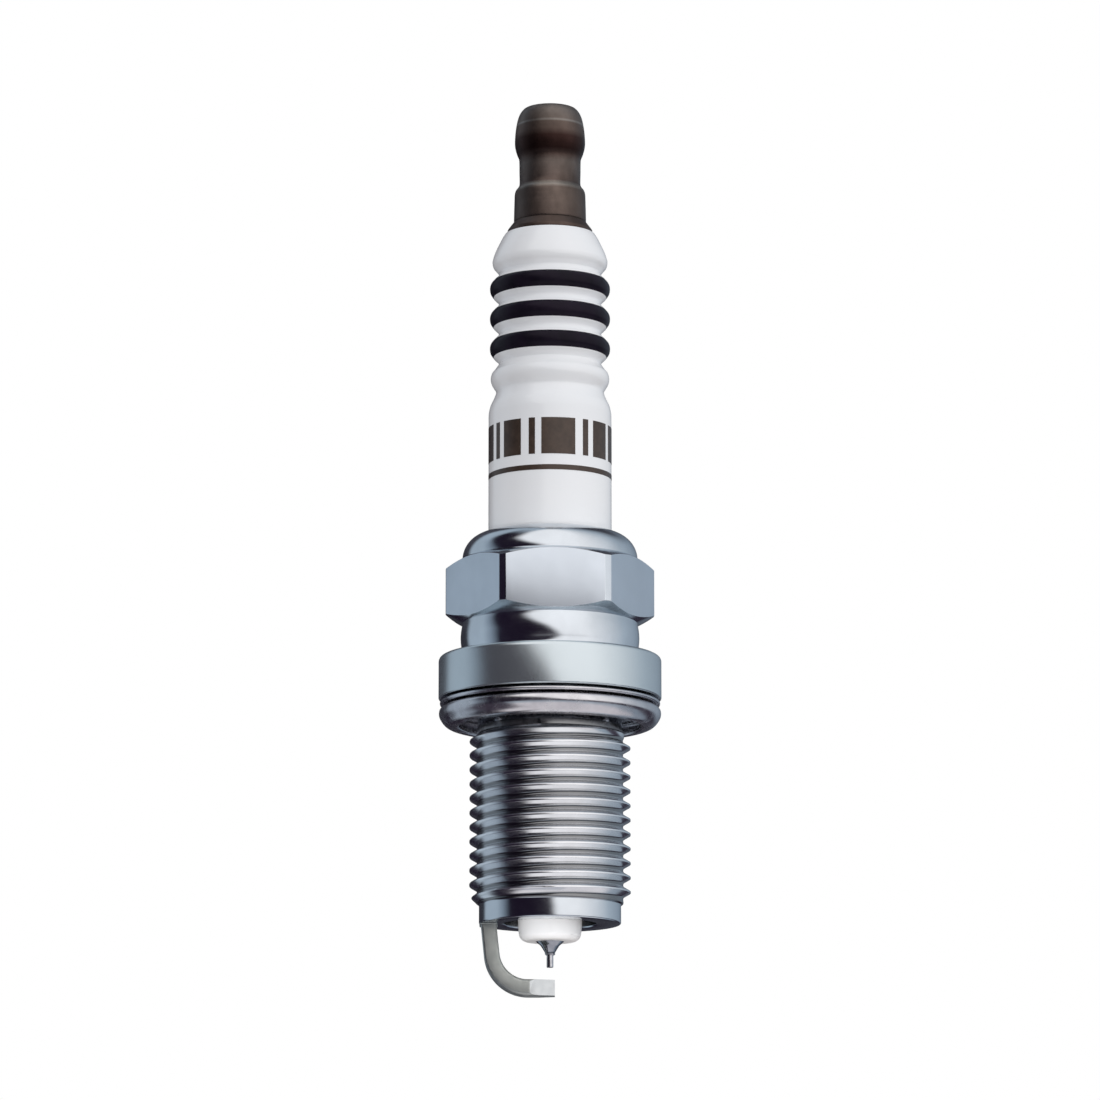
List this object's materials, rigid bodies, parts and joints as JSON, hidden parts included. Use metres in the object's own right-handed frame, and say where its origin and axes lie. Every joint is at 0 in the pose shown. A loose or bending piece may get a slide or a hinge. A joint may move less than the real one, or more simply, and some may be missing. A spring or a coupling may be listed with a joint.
{
  "type": "spark plug",
  "caption": "Spark plug with a ribbed white ceramic insulator, hexagon steel shell, loose gasket, screw-off terminal nut, fine centre pin and bent ground strap.",
  "frame": {"origin": "on the plug's axis, in the plane of the metal shell's gasket seat, the underside of its flange", "axes": "+Z along the plug's axis to the terminal, -Y out of one wrench flat, the ground strap lies at about -X"},
  "size_m": [0.0194, 0.0194, 0.0785],
  "materials": {
    "plated_steel": "bright trivalent zinc plating, satin on the flats",
    "gasket_steel": "bright rolled steel",
    "packing_steel": "plain soft steel",
    "talc": "pressed powder",
    "insulator_ceramic": "glossy white glaze",
    "black_glaze": "satin black fired glaze",
    "seal_glass": "copper-filled glass, opaque",
    "resistor_glass": "carbon and glass",
    "stud_steel": "browned steel",
    "nut_steel": "browned steel, satin",
    "nickel_alloy": "nickel alloy",
    "copper": null,
    "iridium": "iridium alloy",
    "strap_nickel": "matt nickel alloy with trimmed, brighter tip faces"
  },
  "bodies": {
    "plug": {"metal_shell": "plated_steel", "plate_packing": "packing_steel", "lower_ring_packing": "packing_steel", "upper_ring_packing": "packing_steel", "talc_filling": "talc", "insulator": "insulator_ceramic", "black_band_upper": "black_glaze", "black_band_middle": "black_glaze", "black_band_lower": "black_glaze", "upper_glass_seal": "seal_glass", "resistor_element": "resistor_glass", "lower_glass_seal": "seal_glass", "terminal_stud": "stud_steel", "centre_electrode_sheath": "nickel_alloy", "centre_electrode_copper_core": "copper", "pin_weld_bead": "iridium", "iridium_pin": "iridium", "ground_strap": "strap_nickel"},
    "terminal_nut": {"terminal_nut": "nut_steel"},
    "gasket": {"gasket": "gasket_steel"}
  },
  "joints": [
    {"name": "terminal_nut_off", "type": "slide", "parent": "plug", "child": "terminal_nut", "axis": [0, 0, 1], "range_m": [0, 0.009]},
    {"name": "gasket_spin", "type": "hinge", "parent": "plug", "child": "gasket", "pos_m": [0, 0, -0.0013], "axis": [0, 0, 1], "continuous": true}
  ]
}
